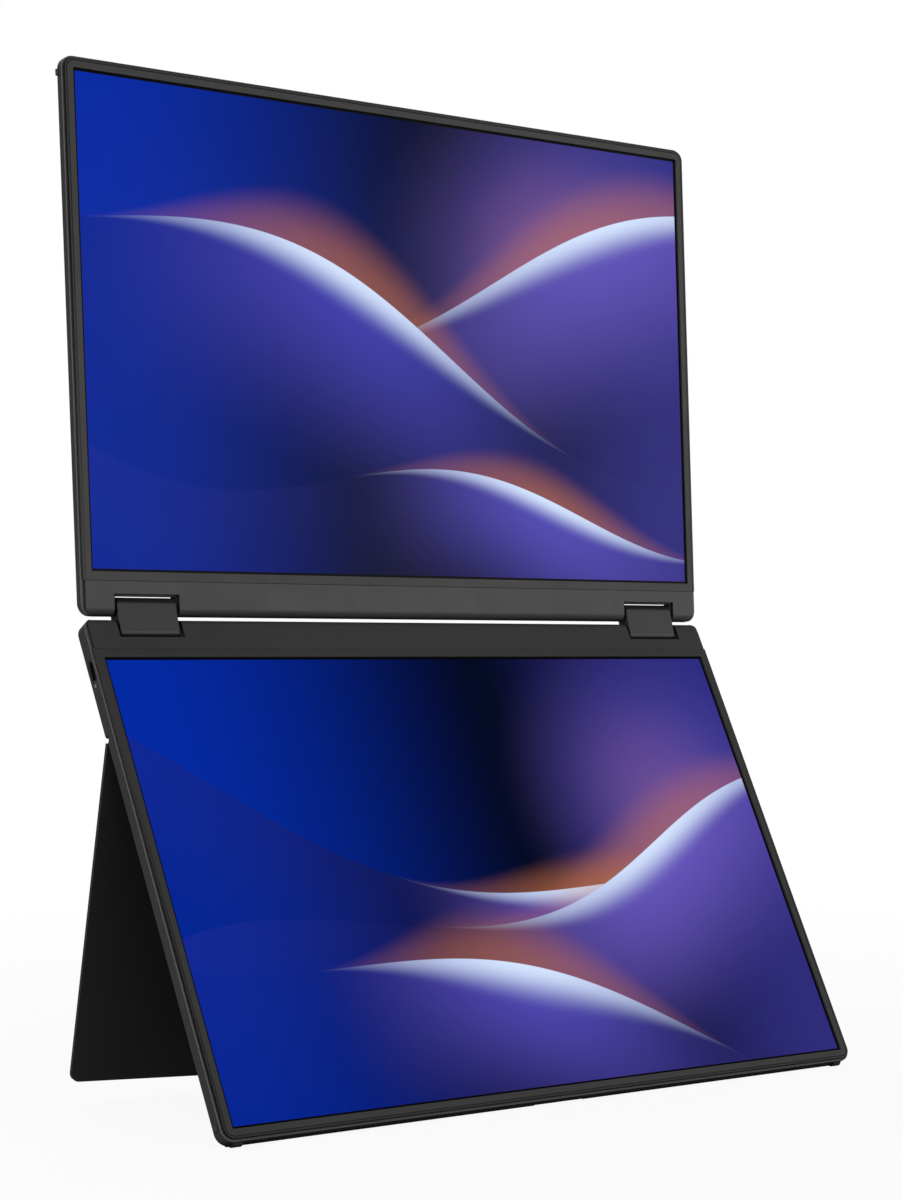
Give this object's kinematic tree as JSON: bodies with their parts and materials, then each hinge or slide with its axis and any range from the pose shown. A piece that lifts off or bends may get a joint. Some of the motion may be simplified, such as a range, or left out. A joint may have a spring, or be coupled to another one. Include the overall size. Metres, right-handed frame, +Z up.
{
  "type": "dual portable monitor",
  "caption": "Portable monitor with stacked screens on geared two-axis hinge blocks; folds shut like a book and stands on a folding plate behind the lower screen.",
  "frame": {"origin": "on the table, midway between the sides and between front and back", "axes": "+Z up, +X to the viewer's right along the hinge pins, screens face -Y"},
  "size_m": [0.3142, 0.1194, 0.4017],
  "materials": {
    "case": "dark grey, fine bead-blasted",
    "bezel": "dark grey, satin",
    "chin": "dark grey, fine bead-blasted",
    "screen_glass": "clear over a lit picture",
    "sheet_steel": "plain sheet",
    "rubber": "matt black",
    "hinge_cover": "dark grey, satin",
    "stand": "near-black, fine bead-blasted",
    "board": "green solder mask",
    "socket_steel": "bright shell",
    "socket_tongue": "black, moulded",
    "light_pipe": "milky, clear",
    "button": "dark grey, satin",
    "insert": "turned",
    "gear_brass": "cut teeth",
    "steel": "machined"
  },
  "bodies": {
    "lower_panel": {"lower_back_cover": "case", "lower_front_bezel": "bezel", "lower_chin_strip": "chin", "lower_display_glass": "screen_glass", "lower_display_chassis": "sheet_steel", "lower_side_bumpers": "rubber", "front_feet": "rubber", "lower_bracket_screws": "steel", "stand_leaves": "steel", "stand_leaf_screws": "steel", "mini_hdmi_socket": "socket_steel", "status_light": "light_pipe", "main_board": "board", "port_board": "board", "key_board": "board", "tripod_insert": "insert", "socket_tongues": "socket_tongue", "lower_hinge_shaft_left": "steel", "lower_hinge_shaft_right": "steel", "lower_hinge_bracket_left": "steel", "lower_hinge_bracket_right": "steel", "usb_c_socket_left": "socket_steel", "usb_c_socket_right": "socket_steel"},
    "hinge_link": {"hinge_housing_left": "hinge_cover", "hinge_housing_right": "hinge_cover", "hinge_cap_left": "hinge_cover", "hinge_cap_right": "hinge_cover", "idler_pins_left": "steel", "idler_pins_right": "steel", "friction_plates_left": "sheet_steel", "friction_plates_right": "sheet_steel"},
    "lower_idlers": {"lower_idler_gear_left": "gear_brass", "lower_idler_gear_right": "gear_brass"},
    "upper_idlers": {"upper_idler_gear_left": "gear_brass", "upper_idler_gear_right": "gear_brass"},
    "upper_panel": {"upper_back_cover": "case", "upper_front_bezel": "bezel", "upper_chin_strip": "chin", "upper_display_glass": "screen_glass", "upper_display_chassis": "sheet_steel", "upper_side_bumpers": "rubber", "upper_bracket_screws": "steel", "driver_board": "board", "upper_hinge_shaft_left": "steel", "upper_hinge_shaft_right": "steel", "upper_hinge_bracket_left": "steel", "upper_hinge_bracket_right": "steel"},
    "stand": {"stand_plate": "stand", "stand_pins": "steel", "stand_foot": "rubber"},
    "power_button": {"power_button": "button"},
    "menu_button": {"menu_button": "button"}
  },
  "joints": [
    {"name": "lower_fold", "type": "hinge", "parent": "lower_panel", "child": "hinge_link", "pos_m": [0, 0.04228, 0.18529], "axis": [1, 0, 0], "range_deg": [-67, 77]},
    {"name": "upper_fold", "type": "hinge", "parent": "hinge_link", "child": "upper_panel", "pos_m": [0, 0.04446, 0.19299], "axis": [1, 0, 0], "range_deg": [-67, 77]},
    {"name": "lower_idler_turn", "type": "hinge", "parent": "hinge_link", "child": "lower_idlers", "pos_m": [0, 0.04304, 0.18798], "axis": [1, 0, 0], "range_deg": [-90, 103]},
    {"name": "upper_idler_turn", "type": "hinge", "parent": "hinge_link", "child": "upper_idlers", "pos_m": [0, 0.04369, 0.19029], "axis": [1, 0, 0], "range_deg": [-103, 90]},
    {"name": "stand_hinge", "type": "hinge", "parent": "lower_panel", "child": "stand", "pos_m": [0, 0.02347, 0.14339], "axis": [1, 0, 0], "range_deg": [-42.28, 15]},
    {"name": "power_button_press", "type": "slide", "parent": "lower_panel", "child": "power_button", "axis": [-1, 0, 0], "range_m": [0, 0.0003], "stiffness_N_per_m": 2000, "springref_m": -0.0004},
    {"name": "menu_button_press", "type": "slide", "parent": "lower_panel", "child": "menu_button", "axis": [-1, 0, 0], "range_m": [0, 0.0003], "stiffness_N_per_m": 2000, "springref_m": -0.0004}
  ],
  "couplings": [
    {"joint": "upper_fold", "follows": "lower_fold", "ratio": 1},
    {"joint": "lower_idler_turn", "follows": "lower_fold", "ratio": 1.3333},
    {"joint": "upper_idler_turn", "follows": "lower_fold", "ratio": -1.3333}
  ]
}
